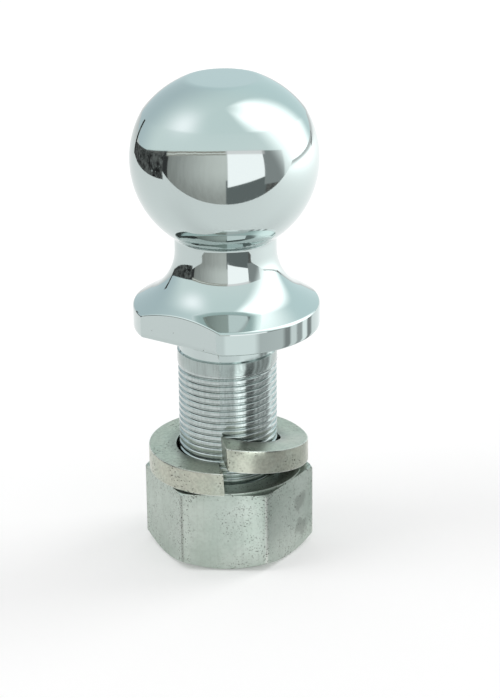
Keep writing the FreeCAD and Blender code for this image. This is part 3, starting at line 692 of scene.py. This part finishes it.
hex_nut = make_piece("hex_nut_forged", (
    nut_net(), thread_net(0.0, NUT_HEIGHT, nut_surface, THREAD_COLUMNS)), 28)
hex_nut.data.transform(Matrix.Rotation(NUT_TURN, 4, "Z"))
hex_nut.data.materials.append(nut_zinc)
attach(hex_nut, "nut")
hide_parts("hex_nut")

# The studio: a white table whose front edge lies just outside the view, a white overhead,
# soft lamps left and right, and the dim room in front of the table that the chrome shows.

TABLE_FRONT = -174.0
TABLE_WHITE = (0.80, 0.80, 0.80)
TABLE_GLOW = 0.22
FAR_GLOW = 0.10
TABLE_GLOW_IN_METAL = 0.17
POOL_PLACE = (0.95, 0.35, 0.0)
POOL_SPREAD = 0.6
POOL_GLOW = 1.2

bpy.ops.mesh.primitive_grid_add(x_subdivisions=2, y_subdivisions=2, size=1)
table = bpy.context.object
table.name = "table"
table.scale = (6.0, 4.0 - TABLE_FRONT * MM, 1.0)
table.location = (0, (4.0 + TABLE_FRONT * MM) / 2, -0.00002)
table.rotation_euler = (0, 0, math.radians(2.0))


def seen_by(tree):
    """Which rays are looking: the camera's or those through glass, and mirrored ones."""
    rays = tree.nodes.new("ShaderNodeLightPath")
    camera_ray, glossy_ray, glass_ray = (
        Socket(tree, rays.outputs[name])
        for name in ("Is Camera Ray", "Is Glossy Ray", "Is Transmission Ray"))
    return camera_ray.sum("MAXIMUM", camera_ray, glass_ray), glossy_ray


table_white, start, place = new_finish("table_white")
tone = place.noise(3.0).mix(TABLE_WHITE, tuple(0.995 * c for c in TABLE_WHITE))
matt = start.node("BsdfDiffuse", {}, {"Color": tone})
by_camera, by_metal = seen_by(start.tree)
# painted light: a soft glowing pool on the table to the right, seen only in metal
to_pool = place.node("VectorMath", {"operation": "DISTANCE"}, {0: start.node(
    "NewGeometry", output="Position"), 1: POOL_PLACE}, 1) / POOL_SPREAD
painted_light_pool = place.sum("EXPONENT", -(to_pool * to_pool)) * POOL_GLOW
far = start.node("NewGeometry", output="Position").parts()[1].above(0.25, 0.5) * FAR_GLOW
glow = start.node("Emission", {}, {
    "Color": (1, 1, 1, 1),
    "Strength": by_camera * (TABLE_GLOW + far) + by_metal * (TABLE_GLOW_IN_METAL + painted_light_pool)})
end_shader(start, start.node("AddShader", {}, {0: matt, 1: glow}))
table.data.materials.append(table_white)

# the dark mottled things at the back left of the table, which only the chrome shows
CLUTTER_NEAR = (-0.465, -0.115)
CLUTTER_FAR = (-0.53, 0.50)
CLUTTER_HEIGHTS = (0.19, 0.085)
POST_WIDTH = 0.035
POST_HEIGHT = 0.26
LEDGE_ENDS = ((0.936, 0.813), (1.54, 1.97))
LEDGE_HEIGHT = 0.04
CLUTTER_DARK = (0.02, 0.02, 0.02)
CLUTTER_GREY = (0.19, 0.19, 0.185)
CLUTTER_FLECK = (0.60, 0.62, 0.62)


def upright_card(name, stations):
    """A card standing on the table, from places with their low and high edge in metres."""
    mesh = bpy.data.meshes.new(name)
    points = []
    for across, back, low, high in stations:
        points += [(across, back, low), (across, back, high)]
    faces = [(2 * i, 2 * i + 2, 2 * i + 3, 2 * i + 1) for i in range(len(stations) - 1)]
    mesh.from_pydata(points, [], faces)
    card = bpy.data.objects.new(name, mesh)
    bpy.context.scene.collection.objects.link(card)
    for kind in ("visible_camera", "visible_diffuse", "visible_shadow", "visible_transmission"):
        setattr(card, kind, False)
    return card


mottled, start, place = new_finish("mottled_room")
patches = place.noise(26.0, 4.0, 0.65)
flecks = place.noise(70.0, 2.0).above(0.70, 0.05)
tone = patches.above(0.53, 0.35).mix(CLUTTER_DARK, CLUTTER_GREY)
tone = flecks.mix(tone, CLUTTER_FLECK)
end_shader(start, start.node("Emission", {}, {"Color": tone, "Strength": 1.0}))
post_end = (CLUTTER_FAR[0] + POST_WIDTH, CLUTTER_FAR[1] + POST_WIDTH)
for name, stations in (
        ("clutter", ((*CLUTTER_NEAR, 0, CLUTTER_HEIGHTS[0]),
                     (*CLUTTER_FAR, 0, CLUTTER_HEIGHTS[1]))),
        ("post", ((*CLUTTER_FAR, 0, POST_HEIGHT), (*post_end, 0, POST_HEIGHT))),
        ("ledge", [(*end, 0, LEDGE_HEIGHT) for end in LEDGE_ENDS])):
    upright_card(name, stations).data.materials.append(mottled)

# a glowing card, seen only in reflections, stands close round the front and right, below the ball;
# its pale and dark stripes are painted reflections, with a painted highlight column, on the rim,
# band, thread and washer
CARD_RADIUS = 0.0312
CARD_LOW = 0.004
CARD_HIGH = 0.0824
CARD_TURNS = (-14.0, 98.0)
RAMP_START = -20.0
RAMP_SPAN = 125.0
RIM_STRIPES = ((-2, 0.93), (0, 1.12), (18, 1.12), (22, 0.70), (38, 0.76), (41, 0.36), (44, 0.36),
               (46, 1.0), (50, 1.0), (52, 0.52), (56, 0.52), (58, 1.3), (62, 1.25), (64, 0.36),
               (68, 0.36), (71, 1.05), (96, 1.15))
UNDERCUT_STRIPES = ((-2, 0.93), (20, 1.0), (26, 1.12), (60, 1.08), (67, 0.45), (80, 0.35),
                    (92, 0.50), (98, 0.95))
SHANK_STRIPES = ((-13, 0.98), (10, 0.82), (18, 2.0), (30, 1.9), (34, 0.13), (47, 0.13),
                 (52, 0.65), (58, 0.25), (64, 0.65), (70, 0.30), (76, 0.65), (82, 0.30),
                 (88, 0.85), (94, 1.50))
LOWER_STRIPES = ((-13, 0.98), (4, 0.95), (8, 1.25), (18, 1.20), (24, 0.62), (30, 0.55),
                 (42, 0.45), (54, 0.50), (64, 0.66), (98, 0.70))
CARD_BLOCK = (0.50, 0.52, 0.52)

striped, start, place = new_finish("reflection_card")
x, y, z = place.parts()
turn = (x.sum("ARCTAN2", x, -y) * math.degrees(1) - RAMP_START) / RAMP_SPAN


def stripes(levels):
    """A run of tones round the card, from turns in degrees and how light each is."""
    return turn.node("ValToRGB", {"stops": [
        ((at - RAMP_START) / RAMP_SPAN, (light * 0.97, light, light))
        for at, light in levels]}, {"Fac": turn})


blocks = place.noise(420.0, 1.0).above(0.5, 0.2)
tone = z.above(0.0385, 0.002).mix(stripes(LOWER_STRIPES), (blocks * 0.35).mix(
    stripes(SHANK_STRIPES), CARD_BLOCK))
tone = z.above(0.0615, 0.002).mix(tone, stripes(UNDERCUT_STRIPES))
tone = z.above(0.0715, 0.001).mix(tone, stripes(RIM_STRIPES))
end_shader(start, start.node("Emission", {}, {"Color": tone, "Strength": 1.0}))
turns = np.radians(np.linspace(*CARD_TURNS, 61))
upright_card("reflection_card", [(CARD_RADIUS * math.sin(t), -CARD_RADIUS * math.cos(t), CARD_LOW,
                               CARD_HIGH) for t in turns]).data.materials.append(striped)

EDGE_PALE = (0.96, 1.04, 1.04)
HIGH_PALE = (0.88, 0.985, 0.985)
BACK_RIGHT = (0.80, 0.95, 0.97)
BACK_LEFT = (0.64, 0.74, 0.78)
ROOM = (0.10, 0.10, 0.10)
ROOM_SPOT = (0.20, 0.19, 0.18)
GAP = (0.05, 0.05, 0.05)
PANEL_LEFT = (0.26, 0.26, 0.25)
PANEL_RIGHT = (0.84, 0.83, 0.80)
PANEL_FOOT = (0.24, 0.235, 0.22)
PANEL_STREAK = (0.98, 0.97, 0.94)
WEDGE = (0.19, 0.205, 0.205)
WINDOW = (1.56, 1.50, 1.52)
SIDE_GREY = (0.36, 0.37, 0.37)
RIGHT_WALL = (0.90, 0.93, 0.93)
WALL_SPOT = (0.72, 0.72, 0.72)
BACK_WALL = (0.90, 0.93, 0.94)
TRIM = (0.62, 0.62, 0.58)
ABOVE_WINDOW = (0.92, 0.85, 0.86)
SOFTBOX = (2.1, 2.1, 2.1)
LEFT_GLOW = (1.55, 1.52, 1.56)
PLAIN_LIGHT = (0.72, 0.72, 0.72)
WHITE = (1.0, 1.0, 1.0)

# along the panel's top: low and high edge, share and tone of each line
TRIM_LINES = ((-0.032, -0.008, 0.75, (0.30, 0.25, 0.21)),
              (-0.056, -0.036, 0.80, (1.05, 1.02, 0.98)),
              (-0.085, -0.062, 0.60, (0.33, 0.29, 0.25)))

world = bpy.data.worlds.new("studio")
bpy.context.scene.world = world
world.use_nodes = True
world.node_tree.nodes.clear()
start = Socket(world.node_tree)
ray = start.node("TexCoord", output="Generated")
x, y, z = ray.parts()
azimuth = x.sum("ARCTAN2", x, -y) * math.degrees(1)
elevation = z.sum("ARCSINE", z) * math.degrees(1)


def patch(left, right, low, high, soft):
    """1 inside a range of directions: turn from the front and height, in degrees."""
    return azimuth.between(left, right, soft) * elevation.between(low, high, soft)


def glow_at(turn, height, spread_turn, spread_height):
    """A soft round patch of light about a direction."""
    across = (azimuth - turn) / spread_turn
    up = (elevation - height) / spread_height
    return z.sum("EXPONENT", -(across * across + up * up))


waves = ray.scaled(1.0, 1.0, 0.2).noise(7.0, 3.0) * 0.06
above_edge = z + y * 0.332 - 0.123
sky = elevation.above(42.0, 60.0).mix(EDGE_PALE, HIGH_PALE)
sky = y.above(0.38, 0.7).mix(sky, x.above(-0.1, 0.8).mix(BACK_LEFT, BACK_RIGHT))
mottle = ray.noise(14.0, 4.0, 0.6)
streaks = ray.scaled(1.0, 1.0, 0.08).noise(16.0, 3.0, 0.6)
room = mottle.above(0.5, 0.3).mix(ROOM, ROOM_SPOT)
room = patch(-78, -70, -30, 12, 1.5).mix(room, GAP)
panel = azimuth.above(-42, 88).mix(PANEL_LEFT, PANEL_RIGHT)
panel = ((1 - elevation.above(-17, 40)) * 0.62).mix(panel, PANEL_FOOT)
panel = (streaks.above(0.5, 0.4) * 0.10).mix(panel, PANEL_STREAK)
room = patch(-71, 4, -45, 40, 1.5).mix(room, panel)
room = patch(2, 52, -40, -10, 2.0).mix(room, WEDGE)
slant = elevation - azimuth * 0.21
room = (azimuth.between(4, 50, 2.0) * slant.above(-19.5, 1.5)).mix(room, WINDOW)
room = patch(49, 76, -18, 40, 1.5).mix(room, SIDE_GREY)
room = azimuth.above(76, 3).mix(room, RIGHT_WALL)
room = patch(82, 95, -14, -2, 2.0).mix(room, WALL_SPOT)
behind = azimuth.sum("ABSOLUTE", azimuth).above(136, 4)
room = behind.mix(room, BACK_WALL)
glossy = above_edge.above(0.0, 0.012).mix(room, sky)
trim = azimuth.between(-74, 3, 4.0)
trim_line = above_edge + waves - 0.03
glossy = (above_edge.between(-0.088, 0.0, 0.012) * trim).mix(glossy, TRIM)
for low, high, share, tone in TRIM_LINES:
    glossy = (trim_line.between(low, high, 0.014) * trim * share).mix(glossy, tone)
above_light = azimuth.between(2, 52, 4.0) * above_edge.between(-0.07, 0.01, 0.03)
glossy = (above_light * 0.7).mix(glossy, ABOVE_WINDOW)
lean = azimuth + elevation * 0.45
softbox = lean.above(81, 36.0) * (1 - azimuth.above(128, 24.0))
softbox = softbox * elevation.between(-20, 78, 26.0)
glossy = softbox.mix(glossy, SOFTBOX)
glossy = (glow_at(-80, 50, 26, 16) * 0.9).mix(glossy, LEFT_GLOW)

by_camera, by_metal = seen_by(start.tree)
light = by_metal.mix(PLAIN_LIGHT, glossy)
light = by_camera.mix(light, WHITE)
end_shader(start, start.node("Background", {}, {"Color": light, "Strength": 1.0}), "World")

# two soft lamps that only throw the faint shadows on the table
LAMP_WIDTH = 0.7

for name, where, power in (("lamp_left", (-0.9, -0.2, 1.1), 4.0),
                           ("lamp_right", (1.0, 0.5, 0.9), 5.0)):
    lamp = bpy.data.lights.new(name, "AREA")
    lamp.shape = "SQUARE"
    lamp.size = LAMP_WIDTH
    lamp.energy = power
    lamp_object = bpy.data.objects.new(name, lamp)
    bpy.context.scene.collection.objects.link(lamp_object)
    lamp_object.location = where
    lamp_object.rotation_euler = (-Vector(where)).to_track_quat("-Z", "Y").to_euler()
    lamp_object.visible_glossy = False

# the camera looks down on the object from the front
PITCH_DOWN = math.radians(21.787)
ROLL = math.radians(-0.616)
CAMERA_PLACE = (0.0072478, -0.703540, 0.347834)
FOCAL_PIXELS = 2385.55
PHOTO_HEIGHT = 698
SENSOR = 36.0

camera_data = bpy.data.cameras.new("camera")
camera_data.sensor_fit = "VERTICAL"
camera_data.sensor_height = SENSOR
camera_data.lens = FOCAL_PIXELS / PHOTO_HEIGHT * SENSOR
camera_data.clip_start = 0.05
camera_data.clip_end = 50
camera = bpy.data.objects.new("camera", camera_data)
bpy.context.scene.collection.objects.link(camera)
ahead = Vector((0, math.cos(PITCH_DOWN), -math.sin(PITCH_DOWN)))
level_right = Vector((1, 0, 0))
level_up = Vector((0, math.sin(PITCH_DOWN), math.cos(PITCH_DOWN)))
camera_right = math.cos(ROLL) * level_right + math.sin(ROLL) * level_up
camera_up = -math.sin(ROLL) * level_right + math.cos(ROLL) * level_up
axes = Matrix((camera_right, camera_up, -ahead)).transposed().to_4x4()
camera.matrix_world = Matrix.Translation(CAMERA_PLACE) @ axes
bpy.context.scene.camera = camera
bpy.context.scene.view_settings.view_transform = "Standard"
